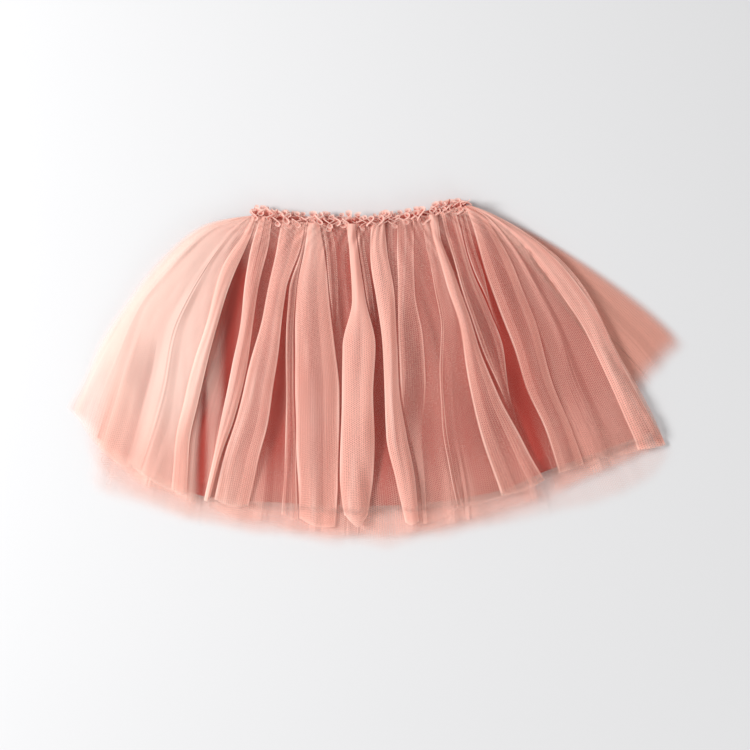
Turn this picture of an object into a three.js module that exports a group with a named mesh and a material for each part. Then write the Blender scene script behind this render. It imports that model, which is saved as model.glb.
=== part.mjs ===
// A child's tulle skirt laid flat on a table.
// Millimetres. X runs across the skirt, Y from the hem up to the waist, Z up from the table.
// The origin is on the table, under the middle of the skirt's outline.
import * as THREE from 'three';

// Cloth
const WALL = 1.2; // thickness of one wall of cloth
const GAP = 0.3; // clearance between two pieces that touch or are sewn together
const STEEPEST_WALL = 3; // most that a wall is thickened, measured upwards, on the side of a fold
const SETTLED = 0.005; // a panel has settled when it is within this of clear
const SETTLE_PASSES = 400;

// Waist, relaxed and laid flat
const WAIST_LEFT = -116;
const WAIST_RIGHT = 79;
const WAIST_LINE = [
  { across: 0, y: 142 },
  { across: 0.25, y: 136 },
  { across: 0.5, y: 134.5 },
  { across: 0.75, y: 139.5 },
  { across: 1, y: 151 },
];
const BAND_HEIGHT = 6.5; // the gathered channel that holds the elastic
const BAND_WALL = 3.4;
const BAND_HOLLOW = 0.6; // between its front and back walls
const BAND_GATHERS = 44; // on the front
const BAND_GATHER_DEPTH = 1.1;
const BAND_STEPS_A_GATHER = 3;
const BAND_BACK_STEPS = 24;
const BAND_FRONT_EXTRA = 0.5; // how much thicker its gathered front wall is
const BAND_END_REACH = 0.4; // how far its turned ends stand out past the waist
const BAND_END_WALL = 0.8; // how much thicker the ends are there, as a share of the wall
const BAND_END_SLACK = 0.1;
const BAND_COLOUR = 0xe9a797;

// Ruffled edges above the channel
const FRONT_FRILL_WAVES = 36;
const BACK_FRILL_WAVES = 24;
const FRILL_STEPS_A_WAVE = 5;
const FRILL_WALL = 1;
const FRILL_INSET = 1; // from the ends of the waist
const FRILL_UNEVEN = 0.5; // how far its waves run ahead and behind, in radians
const FRONT_FRILL_SEAT = 0.75; // where on the band it stands, as a share of the band's height
const FRONT_FRILL_RISE = 5.6; // how far the front frill stands up off the band
const FRONT_FRILL_SWING = 4.2; // how far its waves reach up and down the skirt
const BACK_FRILL_REACH = 3.4; // how far the back frill reaches above the band
const BACK_FRILL_SWING = 1.9;
const BACK_FRILL_THICKER = 1.2; // its wall, lying flat, in front frill walls
const FRONT_FRILL_COLOUR = 0xf5cdc0;
const BACK_FRILL_COLOUR = 0xf1c0b2;

// How a side edge flares: the share of its whole reach that it has at each level from waist to hem
const FLARES = {
  left: [
    { down: 0, share: 0 },
    { down: 0.1, share: 0.25 },
    { down: 0.32, share: 0.49 },
    { down: 0.56, share: 0.7 },
    { down: 0.72, share: 0.83 },
    { down: 0.88, share: 0.92 },
    { down: 1, share: 1 },
  ],
  right: [
    { down: 0, share: 0 },
    { down: 0.33, share: 0.465 },
    { down: 0.46, share: 0.59 },
    { down: 0.7, share: 0.755 },
    { down: 0.9, share: 0.93 },
    { down: 1, share: 1 },
  ],
  straight: [
    { down: 0, share: 0 },
    { down: 0.45, share: 0.42 },
    { down: 0.75, share: 0.74 },
    { down: 1, share: 1 },
  ],
  wing: [
    { down: 0, share: 0 },
    { down: 0.5, share: 0.53 },
    { down: 0.8, share: 0.83 },
    { down: 1, share: 1 },
  ],
};
const SIDE_DROP = 1.35; // rows drop later at the sides than in the middle

// The soft waves of a panel: a main one and a slower one, added together
const MAIN_WAVE = 0.75;
const SLOW_WAVE = 0.35;
const SLOW_RATE = 0.37; // slow waves to each main one
const WAVE_UNEVEN = 1.3; // how far the main one runs ahead and behind, in radians
const WAVE_DRIFT = 0.6; // how far it drifts sideways from waist to hem, in radians
const WAVE_AT_WAIST = 0.25; // share of its height that it has at the waist

// How a panel puffs up: the share of a half wave it makes from waist to hem, and of its loft at the sides
const PUFF_SPAN = 0.85;
const PUFF_AT_SIDES = 0.2;

// Panels from the table up. Each lies on those before it. hem gives its lower edge from left to right;
// folds is how many soft waves it has, depth how high they are, loft how far it puffs off what it lies on
const PANELS = [
  {
    name: 'tulle_back_outer',
    colour: 0xf2c4b6,
    left: -274,
    right: 281,
    flareRight: 'wing',
    columns: 44,
    rows: 8,
    folds: 13,
    depth: 4,
    loft: 0,
    hem: [
      { across: 0, y: -57 },
      { across: 0.04, y: -93 },
      { across: 0.14, y: -124 },
      { across: 0.28, y: -144 },
      { across: 0.42, y: -155 },
      { across: 0.5, y: -158.5 },
      { across: 0.58, y: -151 },
      { across: 0.69, y: -136 },
      { across: 0.79, y: -111 },
      { across: 0.87, y: -62 },
      { across: 0.94, y: -6 },
      { across: 1, y: 26 },
    ],
  },
  {
    name: 'tulle_back_inner',
    colour: 0xf0beb0,
    left: -269,
    right: 257,
    flareRight: 'right',
    columns: 40,
    rows: 8,
    folds: 12,
    depth: 3,
    loft: 0.5,
    hem: [
      { across: 0, y: -92 },
      { across: 0.03, y: -108 },
      { across: 0.12, y: -125 },
      { across: 0.23, y: -140 },
      { across: 0.38, y: -149 },
      { across: 0.52, y: -148 },
      { across: 0.68, y: -140 },
      { across: 0.79, y: -129 },
      { across: 0.89, y: -115 },
      { across: 0.96, y: -98 },
      { across: 1, y: -70 },
    ],
  },
  {
    name: 'lining_back',
    colour: 0xa84038,
    left: -250,
    right: 239,
    flareRight: 'straight',
    columns: 20,
    rows: 6,
    folds: 7,
    depth: 1.2,
    loft: 0,
    hem: [
      { across: 0, y: -52 },
      { across: 0.12, y: -88 },
      { across: 0.2, y: -104 },
      { across: 0.37, y: -111 },
      { across: 0.48, y: -113 },
      { across: 0.6, y: -110 },
      { across: 0.73, y: -99 },
      { across: 0.81, y: -82 },
      { across: 0.91, y: -64 },
      { across: 1, y: -47 },
    ],
  },
  {
    name: 'lining_front',
    colour: 0xb04840,
    left: -253,
    right: 242,
    flareRight: 'straight',
    columns: 32,
    rows: 7,
    folds: 10,
    depth: 2,
    loft: 0.6,
    hem: [
      { across: 0, y: -55 },
      { across: 0.12, y: -92 },
      { across: 0.2, y: -108 },
      { across: 0.37, y: -114 },
      { across: 0.48, y: -116 },
      { across: 0.6, y: -113 },
      { across: 0.73, y: -102 },
      { across: 0.81, y: -85 },
      { across: 0.91, y: -67 },
      { across: 1, y: -50 },
    ],
  },
  {
    name: 'tulle_front_inner',
    colour: 0xe8a596,
    left: -265,
    right: 249,
    flareRight: 'right',
    columns: 44,
    rows: 8,
    folds: 13,
    depth: 4,
    loft: 2.5,
    hem: [
      { across: 0, y: -50 },
      { across: 0.07, y: -90 },
      { across: 0.15, y: -112 },
      { across: 0.24, y: -126 },
      { across: 0.38, y: -143 },
      { across: 0.48, y: -148 },
      { across: 0.59, y: -143 },
      { across: 0.73, y: -125 },
      { across: 0.82, y: -108 },
      { across: 0.9, y: -92 },
      { across: 1, y: -66 },
    ],
  },
];
const FRONT = {
  name: 'tulle_front_outer',
  colour: 0xf3cabb,
  left: -281.5,
  right: 256.5,
  flareRight: 'right',
  rows: 9,
  loft: 4,
  hem: [
    { across: 0, y: -30 },
    { across: 0.05, y: -59 },
    { across: 0.11, y: -84 },
    { across: 0.17, y: -102 },
    { across: 0.25, y: -113 },
    { across: 0.39, y: -131 },
    { across: 0.475, y: -138 },
    { across: 0.59, y: -131 },
    { across: 0.73, y: -108 },
    { across: 0.8, y: -92 },
    { across: 0.89, y: -77 },
    { across: 1, y: -61 },
  ],
};

// The front's folds, left to right. at and wide give the middle and width of a fold at LEVELS,
// from the waist down to the hem, and lift is its greatest height
const LEVELS = [0, 1 / 3, 2 / 3, 1];
const FRONT_FOLDS = [
  { name: 'side_far', at: [-114.4, -184, -240, -267], wide: [1.4, 7, 9, 9], lift: 3.5 },
  { name: 'side_soft', at: [-112.5, -173, -223, -247], wide: [1.6, 7, 11, 12], lift: 4.5 },
  { name: 'side_mid', at: [-110.4, -162, -204, -227], wide: [1.8, 7, 12, 14], lift: 5.5 },
  { name: 'side_near', at: [-108.1, -152, -186, -204], wide: [2, 6, 11, 13], lift: 6 },
  { name: 'strip_a', at: [-105, -141, -166, -179], wide: [3, 11, 14, 9], lift: 8 },
  { name: 'strip_b', at: [-97, -114, -131, -149], wide: [6, 12, 12, 14], lift: 9 },
  { name: 'strip_c', at: [-82, -95, -112, -128], wide: [9, 16, 21, 20], lift: 10 },
  { name: 'strip_d', at: [-70, -79, -78, -84], wide: [5, 6, 8, 10], lift: 4 },
  { name: 'panel_left', at: [-59, -65, -64, -64], wide: [9, 17, 17, 16], lift: 9 },
  { name: 'panel_right', at: [-46, -46, -46, -45], wide: [8, 15, 16, 16], lift: 8 },
  { name: 'short_neck', at: [-34, -31, -34, -34], wide: [6, 2.6, 1.8, 1.8], lift: 2 },
  { name: 'leaf', at: [-23, -14, -18, -19], wide: [5, 19, 29, 13], lift: 12 },
  { name: 'strip_j', at: [-7, 9, 14, 32], wide: [8, 16, 17, 15], lift: 8 },
  { name: 'slot_edge', at: [7, 18.7, 25, 46], wide: [5, 2, 2, 6], lift: 2.5 },
  { name: 'strip_l', at: [21, 28, 39, 65], wide: [14, 15, 20, 14], lift: 8 },
  { name: 'soft_m', at: [38, 50, 62, 90], wide: [6, 8, 10, 12], lift: 3 },
  { name: 'strip_n', at: [51, 74, 97, 128], wide: [7, 10, 22, 34], lift: 10 },
  { name: 'short_q', at: [61.5, 90, 116, 151], wide: [5, 7, 1.8, 1.8], lift: 4 },
  { name: 'strip_q', at: [69, 115, 140, 170], wide: [6, 28, 24, 20], lift: 9 },
  { name: 'soft_r', at: [74.2, 139, 171, 205], wide: [1.8, 7, 12, 14], lift: 4 },
  { name: 'edge_s', at: [77, 152.5, 195, 241], wide: [1.8, 10, 21, 26], lift: 6 },
];
const FOLD_SIDE = 2.4; // how far a fold's side runs as it rises
const WIDEST_SIDE = 0.45; // and at most this share of half the fold's width
const SHOULDER = 0.75; // height where its side ends, as a share of its top
const FLAT_AT_WAIST = 0.35; // share of a fold's height that it keeps at the waist
const RISES_UNTIL = 0.35; // the level where it reaches its full height
const NARROWEST_FOLD = 0.5;
const KEEPS_HEIGHT = 0.6; // share of its greatest width down to which a fold keeps its height

const lerp = THREE.MathUtils.lerp;

// A smooth function of position through the rows of a table
function smooth(rows, place, value) {
  const places = new Float64Array(rows.map((row) => row[place]));
  const values = new Float64Array(rows.map((row) => row[value]));
  const line = new THREE.CubicInterpolant(places, values, 1, new Float64Array(1));
  return (t) => line.evaluate(THREE.MathUtils.clamp(t, 0, 1))[0];
}

// A smooth function of the level through the four numbers of one fold
function smoothLevels(numbers) {
  return smooth(LEVELS.map((level, i) => ({ level, number: numbers[i] })), 'level', 'number');
}

const waistY = smooth(WAIST_LINE, 'across', 'y');

// Where a panel lies on the table. across runs 0 to 1 from left to right, down 0 to 1 from waist to hem
function layOut(panel) {
  const hemY = smooth(panel.hem, 'across', 'y');
  const leftShare = smooth(FLARES.left, 'down', 'share');
  const rightShare = smooth(FLARES[panel.flareRight], 'down', 'share');
  const leftX = (down) => lerp(WAIST_LEFT, panel.left, leftShare(down));
  const rightX = (down) => lerp(WAIST_RIGHT, panel.right, rightShare(down));
  const yAt = (across, down) => {
    const drop = down ** (1 + (SIDE_DROP - 1) * (2 * across - 1) ** 2);
    return lerp(waistY(across) - GAP, hemY(across), drop);
  };
  const acrossAt = (x, down) => (x - leftX(down)) / (rightX(down) - leftX(down));
  return { leftX, rightX, yAt, acrossAt };
}

// Soft waves of a panel without placed folds: uneven, deeper towards the hem, the same on every run
function softWaves(panel, across, down) {
  const angle = 2 * Math.PI * across;
  const ahead = WAVE_UNEVEN * Math.sin(2 * angle + panel.folds) + WAVE_DRIFT * down;
  const main = Math.cos(panel.folds * angle + ahead);
  const slow = Math.cos(SLOW_RATE * panel.folds * angle + 2 + down);
  const highest = panel.depth * lerp(WAVE_AT_WAIST, 1, down);
  return highest * Math.max(0, MAIN_WAVE * main + SLOW_WAVE * slow);
}

// A closed wall over a grid of points that each have x, y, a lower z and an upper z
function wallOverGrid(grid) {
  const rows = grid.length;
  const columns = grid[0].length;
  const positions = [];
  for (const side of ['low', 'high']) {
    for (const row of grid) {
      for (const point of row) positions.push(point.x, point.y, point[side]);
    }
  }
  const low = (j, i) => j * columns + i;
  const high = (j, i) => rows * columns + j * columns + i;
  const faces = [];
  const quad = (a, b, c, d) => faces.push(a, b, c, a, c, d);
  for (let j = 0; j + 1 < rows; j++) {
    for (let i = 0; i + 1 < columns; i++) {
      quad(high(j, i), high(j + 1, i), high(j + 1, i + 1), high(j, i + 1));
      quad(low(j, i), low(j, i + 1), low(j + 1, i + 1), low(j + 1, i));
    }
    quad(low(j, 0), low(j + 1, 0), high(j + 1, 0), high(j, 0));
    quad(low(j + 1, columns - 1), low(j, columns - 1), high(j, columns - 1), high(j + 1, columns - 1));
  }
  for (let i = 0; i + 1 < columns; i++) {
    quad(low(0, i + 1), low(0, i), high(0, i), high(0, i + 1));
    quad(low(rows - 1, i), low(rows - 1, i + 1), high(rows - 1, i + 1), high(rows - 1, i));
  }
  const geometry = new THREE.BufferGeometry();
  geometry.setAttribute('position', new THREE.Float32BufferAttribute(positions, 3));
  geometry.setIndex(faces);
  geometry.computeVertexNormals();
  return geometry;
}

// Sets the upper side of a grid, a wall's thickness above the lower one, measured square to the slope
function thicken(grid) {
  grid.forEach((row, j) => row.forEach((point, i) => {
    const before = row[Math.max(i - 1, 0)];
    const after = row[Math.min(i + 1, row.length - 1)];
    const slope = (after.low - before.low) / Math.hypot(after.x - before.x, after.y - before.y);
    point.high = point.low + WALL * Math.min(Math.hypot(1, slope), STEEPEST_WALL);
  }));
}

// Some points with the box round them, seen from above
function boxed(points) {
  const xs = points.map((point) => point.x);
  const ys = points.map((point) => point.y);
  const [left, right] = [Math.min(...xs), Math.max(...xs)];
  return { points, left, right, near: Math.min(...ys), far: Math.max(...ys) };
}

const boxesMeet = (a, b) => a.left <= b.right && b.left <= a.right && a.near <= b.far && b.near <= a.far;

// The points, edges and triangles of a grid, cut along the same diagonals as its wall
function facesOf(grid) {
  const corners = [];
  const edges = [];
  const triangles = [];
  grid.forEach((row, j) => row.forEach((here, i) => {
    const beside = row[i + 1];
    const below = grid[j + 1]?.[i];
    const opposite = grid[j + 1]?.[i + 1];
    corners.push(boxed([here]));
    if (beside) edges.push(boxed([here, beside]));
    if (below) edges.push(boxed([here, below]));
    if (opposite) {
      edges.push(boxed([here, opposite]));
      triangles.push(boxed([here, below, opposite]), boxed([here, opposite, beside]));
    }
  }));
  return { corners, edges, triangles };
}

const turn = (a, b, c) => (b.x - a.x) * (c.y - a.y) - (b.y - a.y) * (c.x - a.x);

// The shares of a triangle's corners at a point inside it, seen from above, or null outside it
function sharesAt([a, b, c], point) {
  const whole = turn(a, b, c);
  const shares = [turn(b, c, point) / whole, turn(c, a, point) / whole, turn(a, b, point) / whole];
  return shares.every((share) => share >= -1e-9) ? shares : null;
}

// Where two edges cross, seen from above: how far along each, or null
function crossingOf([a, b], [c, d]) {
  const denominator = (b.x - a.x) * (d.y - c.y) - (b.y - a.y) * (d.x - c.x);
  if (Math.abs(denominator) < 1e-9) return null;
  const first = ((c.x - a.x) * (d.y - c.y) - (c.y - a.y) * (d.x - c.x)) / denominator;
  const second = ((c.x - a.x) * (b.y - a.y) - (c.y - a.y) * (b.x - a.x)) / denominator;
  const inside = (t) => t >= 0 && t <= 1;
  return inside(first) && inside(second) ? [first, second] : null;
}

// The pairs of two lists whose boxes meet
function meetings(some, others) {
  const pairs = [];
  for (const one of some) {
    for (const other of others) {
      if (boxesMeet(one, other)) pairs.push({ one: one.points, other: other.points });
    }
  }
  return pairs;
}

// A height of some points mixed by their shares
function mixture(shares, points, side) {
  return points.reduce((sum, point, k) => sum + shares[k] * point[side], 0);
}

// What keeps a grid off a finished one below it: some of its points, their shares, and the least height
// of that mixture. Flat faces meet first at a corner or where two edges cross, so these places are enough
function contacts(upper, lower) {
  const over = facesOf(upper);
  const under = facesOf(lower);
  const found = [];
  const keepOff = (points, shares, height) => found.push({ points, shares, height: height + GAP });

  for (const { one: triangle, other: [point] } of meetings(over.triangles, under.corners)) {
    const shares = sharesAt(triangle, point);
    if (shares) keepOff(triangle, shares, point.high);
  }
  for (const { one: triangle, other: [point] } of meetings(under.triangles, over.corners)) {
    const shares = sharesAt(triangle, point);
    if (shares) keepOff([point], [1], mixture(shares, triangle, 'high'));
  }
  for (const { one: edge, other } of meetings(over.edges, under.edges)) {
    const crossing = crossingOf(edge, other);
    if (!crossing) continue;
    const [along, alongOther] = crossing;
    keepOff(edge, [1 - along, along], lerp(other[0].high, other[1].high, alongOther));
  }
  return found;
}

// Raises the points of a grid as little as clears everything below it
function settle(grid, below) {
  const places = below.flatMap((panel) => contacts(grid, panel.grid));
  for (let pass = 0; pass < SETTLE_PASSES; pass++) {
    let worst = 0;
    for (const { points, shares, height } of places) {
      const short = height - mixture(shares, points, 'low');
      if (short <= 0) continue;
      worst = Math.max(worst, short);
      const squares = shares.reduce((sum, share) => sum + share * share, 0);
      points.forEach((point, k) => {
        point.low += (short * shares[k]) / squares;
      });
    }
    if (worst < SETTLED) return;
  }
}

// Puffs a panel off what it lies on: not at the waist, most above the hem, little at its sides
function puff(panel, lay, grid) {
  grid.forEach((row, j) => {
    const down = j / (grid.length - 1);
    for (const point of row) {
      const sides = 1 - (2 * lay.acrossAt(point.x, down) - 1) ** 4;
      point.low += panel.loft * Math.sin(Math.PI * PUFF_SPAN * down) * lerp(PUFF_AT_SIDES, 1, sides);
    }
  });
}

// A panel with soft waves all over
function plainPanel(panel, below) {
  const lay = layOut(panel);
  const grid = [];
  for (let j = 0; j <= panel.rows; j++) {
    const down = j / panel.rows;
    const row = [];
    for (let i = 0; i <= panel.columns; i++) {
      const across = i / panel.columns;
      const x = lerp(lay.leftX(down), lay.rightX(down), across);
      const y = lay.yAt(across, down);
      row.push({ x, y, low: softWaves(panel, across, down) });
    }
    grid.push(row);
  }
  settle(grid, below);
  puff(panel, lay, grid);
  thicken(grid);
  return { ...panel, grid };
}

// The columns of the front: the two side edges, and five for each fold, from foot to foot
function frontColumns(lay, down) {
  const risen = lerp(FLAT_AT_WAIST, 1, THREE.MathUtils.smoothstep(down, 0, RISES_UNTIL));
  const columns = [{ x: lay.leftX(down), rise: 0 }];
  for (const fold of FRONT_FOLDS) {
    const middle = smoothLevels(fold.at)(down);
    const half = Math.max(smoothLevels(fold.wide)(down), NARROWEST_FOLD) / 2;
    const run = Math.min(FOLD_SIDE, half * WIDEST_SIDE);
    const widest = Math.max(...fold.wide) / 2;
    const rise = fold.lift * risen * Math.min(1, half / (KEEPS_HEIGHT * widest));
    columns.push({ x: middle - half, rise: 0 });
    columns.push({ x: middle - half + run, rise: SHOULDER * rise });
    columns.push({ x: middle, rise });
    columns.push({ x: middle + half - run, rise: SHOULDER * rise });
    columns.push({ x: middle + half, rise: 0 });
  }
  columns.push({ x: lay.rightX(down), rise: 0 });
  return columns;
}

// The front, with its folds in their places
function foldedFront(panel, below) {
  const lay = layOut(panel);
  const grid = [];
  for (let j = 0; j <= panel.rows; j++) {
    const down = j / panel.rows;
    grid.push(frontColumns(lay, down).map(({ x, rise }) => {
      const y = lay.yAt(lay.acrossAt(x, down), down);
      return { x, y, low: 0, rise };
    }));
  }
  settle(grid, below);
  for (const point of grid.flat()) point.low += point.rise;
  puff(panel, lay, grid);
  thicken(grid);
  return { ...panel, grid };
}

// A closed ring of rectangular section: outside and inside points all round, at two edges
function ringWall(loop) {
  const positions = [];
  for (const station of loop) {
    for (const corner of station) positions.push(corner.x, corner.y, corner.z);
  }
  const faces = [];
  const corners = 4;
  loop.forEach((_, i) => {
    const next = (i + 1) % loop.length;
    for (let k = 0; k < corners; k++) {
      const [a, b] = [i * corners + k, i * corners + ((k + 1) % corners)];
      const [c, d] = [next * corners + ((k + 1) % corners), next * corners + k];
      faces.push(a, c, b, a, d, c);
    }
  });
  const geometry = new THREE.BufferGeometry();
  geometry.setAttribute('position', new THREE.Float32BufferAttribute(positions, 3));
  geometry.setIndex(faces);
  geometry.computeVertexNormals();
  return geometry;
}

// The gathered channel: one flattened ring, its back wall flat on the table, its front wall gathered
function waistband() {
  const loop = [];
  const across = (x) => (x - WAIST_LEFT) / (WAIST_RIGHT - WAIST_LEFT);
  const station = (x, inner, outer, end) => {
    const y = waistY(across(x));
    const outerX = x + end * BAND_WALL;
    loop.push([
      { x: outerX, y, z: outer },
      { x: outerX, y: y + BAND_HEIGHT, z: outer },
      { x, y: y + BAND_HEIGHT, z: inner },
      { x, y, z: inner },
    ]);
  };
  const frontInner = BAND_WALL + BAND_HOLLOW;
  const frontOuter = frontInner + BAND_WALL + BAND_FRONT_EXTRA;
  const steps = BAND_GATHERS * BAND_STEPS_A_GATHER;
  for (let i = 0; i <= steps; i++) {
    const wave = Math.sin((2 * Math.PI * i * BAND_GATHERS) / steps + 1.2 * Math.sin(i / 7));
    const x = lerp(WAIST_LEFT, WAIST_RIGHT, i / steps);
    station(x, frontInner, frontOuter + BAND_GATHER_DEPTH * wave, 0);
  }
  const endFront = (x, end) => station(x, frontInner - BAND_END_SLACK, frontInner + BAND_WALL / 2, end);
  const endBack = (x, end) => station(x, BAND_WALL + BAND_END_SLACK, BAND_WALL / 2, end);
  endFront(WAIST_RIGHT + BAND_END_REACH, BAND_END_WALL);
  endBack(WAIST_RIGHT + BAND_END_REACH, BAND_END_WALL);
  for (let i = BAND_BACK_STEPS; i >= 0; i--) {
    station(lerp(WAIST_LEFT, WAIST_RIGHT, i / BAND_BACK_STEPS), BAND_WALL, 0, 0);
  }
  endBack(WAIST_LEFT - BAND_END_REACH, -BAND_END_WALL);
  endFront(WAIST_LEFT - BAND_END_REACH, -BAND_END_WALL);
  return ringWall(loop);
}

// A strip along a line of points with a sideways direction each, closed at both ends
function strip(line, corner) {
  const positions = [];
  for (const point of line) {
    for (const [side, edge] of [[-1, 0], [1, 0], [1, 1], [-1, 1]]) {
      const { x, y, z } = corner(point, side, edge);
      positions.push(x, y, z);
    }
  }
  const faces = [];
  for (let i = 0; i + 1 < line.length; i++) {
    for (let k = 0; k < 4; k++) {
      const [a, b] = [4 * i + k, 4 * i + ((k + 1) % 4)];
      faces.push(a, b + 4, a + 4, a, b, b + 4);
    }
  }
  const last = 4 * (line.length - 1);
  faces.push(0, 2, 1, 0, 3, 2, last, last + 1, last + 2, last, last + 2, last + 3);
  const geometry = new THREE.BufferGeometry();
  geometry.setAttribute('position', new THREE.Float32BufferAttribute(positions, 3));
  geometry.setIndex(faces);
  geometry.computeVertexNormals();
  return geometry;
}

// The line of a frill: even steps across the waist, with the phase of its waves at each
function frillLine(waves) {
  const steps = waves * FRILL_STEPS_A_WAVE;
  return Array.from({ length: steps + 1 }, (_, i) => {
    const across = i / steps;
    const phase = 2 * Math.PI * waves * across + FRILL_UNEVEN * Math.sin(9 * across);
    const x = lerp(WAIST_LEFT + FRILL_INSET, WAIST_RIGHT - FRILL_INSET, across);
    return { across, phase, x, y: waistY(across) };
  });
}

// The front frill stands on the band, and its free edge swings up and down the skirt
function frontFrill(bandTop) {
  const centre = (point) => {
    const uneven = 0.75 + 0.25 * Math.sin(17 * point.across + 2);
    const swing = FRONT_FRILL_SWING * uneven * Math.sin(point.phase);
    return point.y + FRONT_FRILL_SEAT * BAND_HEIGHT + swing;
  };
  const line = frillLine(FRONT_FRILL_WAVES).map((point) => ({ ...point, mid: centre(point) }));
  line.forEach((point, i) => {
    const before = line[Math.max(i - 1, 0)];
    const after = line[Math.min(i + 1, line.length - 1)];
    const along = new THREE.Vector2(after.x - before.x, after.mid - before.mid).normalize();
    point.sideX = -along.y * (FRILL_WALL / 2);
    point.sideY = along.x * (FRILL_WALL / 2);
  });
  return strip(line, (point, side, edge) => ({
    x: point.x + side * point.sideX,
    y: point.mid + side * point.sideY,
    z: bandTop + edge * FRONT_FRILL_RISE,
  }));
}

// The back frill lies beyond the band, waving up and down off the table
function backFrill() {
  return strip(frillLine(BACK_FRILL_WAVES), (point, side, edge) => {
    const swing = edge ? BACK_FRILL_SWING : 0.5 * BACK_FRILL_SWING;
    const low = swing * (1 + Math.sin(point.phase));
    return {
      x: point.x,
      y: point.y + BAND_HEIGHT + GAP + edge * BACK_FRILL_REACH,
      z: low + (side > 0 ? 0 : FRILL_WALL * BACK_FRILL_THICKER),
    };
  });
}

function piece(name, geometry, colour) {
  const material = new THREE.MeshStandardMaterial({
    color: colour,
    roughness: 0.85,
    metalness: 0,
    side: THREE.FrontSide,
  });
  const mesh = new THREE.Mesh(geometry, material);
  mesh.name = name;
  return mesh;
}

const skirt = new THREE.Group();
const laid = [];
for (const panel of PANELS) {
  laid.push(plainPanel(panel, laid));
}
laid.push(foldedFront(FRONT, laid));
for (const panel of laid) skirt.add(piece(panel.name, wallOverGrid(panel.grid), panel.colour));

const BAND_TOP = 2 * BAND_WALL + BAND_HOLLOW + BAND_FRONT_EXTRA + BAND_GATHER_DEPTH;
skirt.add(piece('waistband', waistband(), BAND_COLOUR));
skirt.add(piece('frill_front', frontFrill(BAND_TOP + GAP), FRONT_FRILL_COLOUR));
skirt.add(piece('frill_back', backFrill(), BACK_FRILL_COLOUR));

export default skirt;
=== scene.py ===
"""A child's tulle skirt laid flat: gathered net over a shorter opaque lining, with a ruffled waist."""
import math

import bpy
import numpy as np
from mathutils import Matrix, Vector
from mathutils.bvhtree import BVHTree


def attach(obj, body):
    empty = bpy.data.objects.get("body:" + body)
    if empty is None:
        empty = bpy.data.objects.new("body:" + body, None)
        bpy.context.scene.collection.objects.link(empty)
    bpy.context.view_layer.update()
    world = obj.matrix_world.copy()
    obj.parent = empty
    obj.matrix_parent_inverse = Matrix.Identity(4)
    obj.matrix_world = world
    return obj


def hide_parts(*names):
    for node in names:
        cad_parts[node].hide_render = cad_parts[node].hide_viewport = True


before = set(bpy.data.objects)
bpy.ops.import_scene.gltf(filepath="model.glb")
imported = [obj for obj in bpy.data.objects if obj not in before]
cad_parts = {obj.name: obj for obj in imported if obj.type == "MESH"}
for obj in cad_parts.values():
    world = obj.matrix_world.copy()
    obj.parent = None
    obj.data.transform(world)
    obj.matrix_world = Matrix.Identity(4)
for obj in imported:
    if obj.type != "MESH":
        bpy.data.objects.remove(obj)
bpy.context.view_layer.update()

MM = 0.001  # everything below is worked out in millimetres, and meshes are made in metres

# Waist and outline, as the solids have them
WAIST_LEFT, WAIST_RIGHT = -116.0, 79.0
WAIST_LINE = [(0, 142), (0.25, 136), (0.5, 134.5), (0.75, 139.5), (1, 151)]
BAND_HEIGHT = 6.5
PANEL_RISE = 1  # of the panels past the waist line
SIDE_DROP = 1.35  # how much later a panel's sides drop to the hem than its middle
FLARES = {  # (down, share of the reach)
    "left": [(0, 0), (0.1, 0.25), (0.32, 0.49), (0.56, 0.7), (0.72, 0.83), (0.88, 0.92), (1, 1)],
    "right": [(0, 0), (0.33, 0.465), (0.46, 0.59), (0.7, 0.755), (0.9, 0.93), (1, 1)],
    "straight": [(0, 0), (0.45, 0.42), (0.75, 0.74), (1, 1)],
    "wing": [(0, 0), (0.5, 0.53), (0.8, 0.83), (1, 1)],
}
PANELS = {  # reach to the left and right, the right side's flare, and the hem as (across, y)
    "tulle_back_outer": dict(
        left=-274, right=281, flare="wing",
        hem=[(0, -57), (0.04, -93), (0.14, -124), (0.28, -144), (0.42, -155), (0.5, -158.5),
             (0.58, -151), (0.69, -136), (0.79, -111), (0.87, -62), (0.94, -6), (1, 26)],
    ),
    "tulle_back_inner": dict(
        left=-269, right=266, flare="right",
        hem=[(0, -92), (0.03, -108), (0.12, -125), (0.23, -140), (0.38, -149), (0.52, -148),
             (0.68, -140), (0.79, -129), (0.89, -115), (0.96, -98), (1, -70)],
    ),
    "lining_back": dict(
        left=-250, right=239, flare="straight",
        hem=[(0, -52), (0.12, -88), (0.2, -104), (0.37, -111), (0.48, -113), (0.6, -110),
             (0.73, -99), (0.81, -82), (0.91, -64), (1, -47)],
    ),
    "lining_front": dict(
        left=-253, right=242, flare="straight",
        hem=[(0, -55), (0.12, -92), (0.2, -108), (0.37, -114), (0.48, -116), (0.6, -113),
             (0.73, -102), (0.81, -85), (0.91, -67), (1, -50)],
    ),
    "tulle_front_inner": dict(
        left=-265, right=249, flare="right",
        hem=[(0, -50), (0.07, -90), (0.15, -112), (0.24, -126), (0.38, -143), (0.48, -148),
             (0.59, -143), (0.73, -125), (0.82, -108), (0.9, -92), (1, -66)],
    ),
    "tulle_front_outer": dict(
        left=-281.5, right=256.5, flare="right",
        hem=[(0, -30), (0.05, -59), (0.11, -84), (0.17, -102), (0.25, -113), (0.39, -131),
             (0.475, -138), (0.59, -131), (0.73, -108), (0.8, -92), (0.89, -77), (1, -61)],
    ),
}

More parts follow.
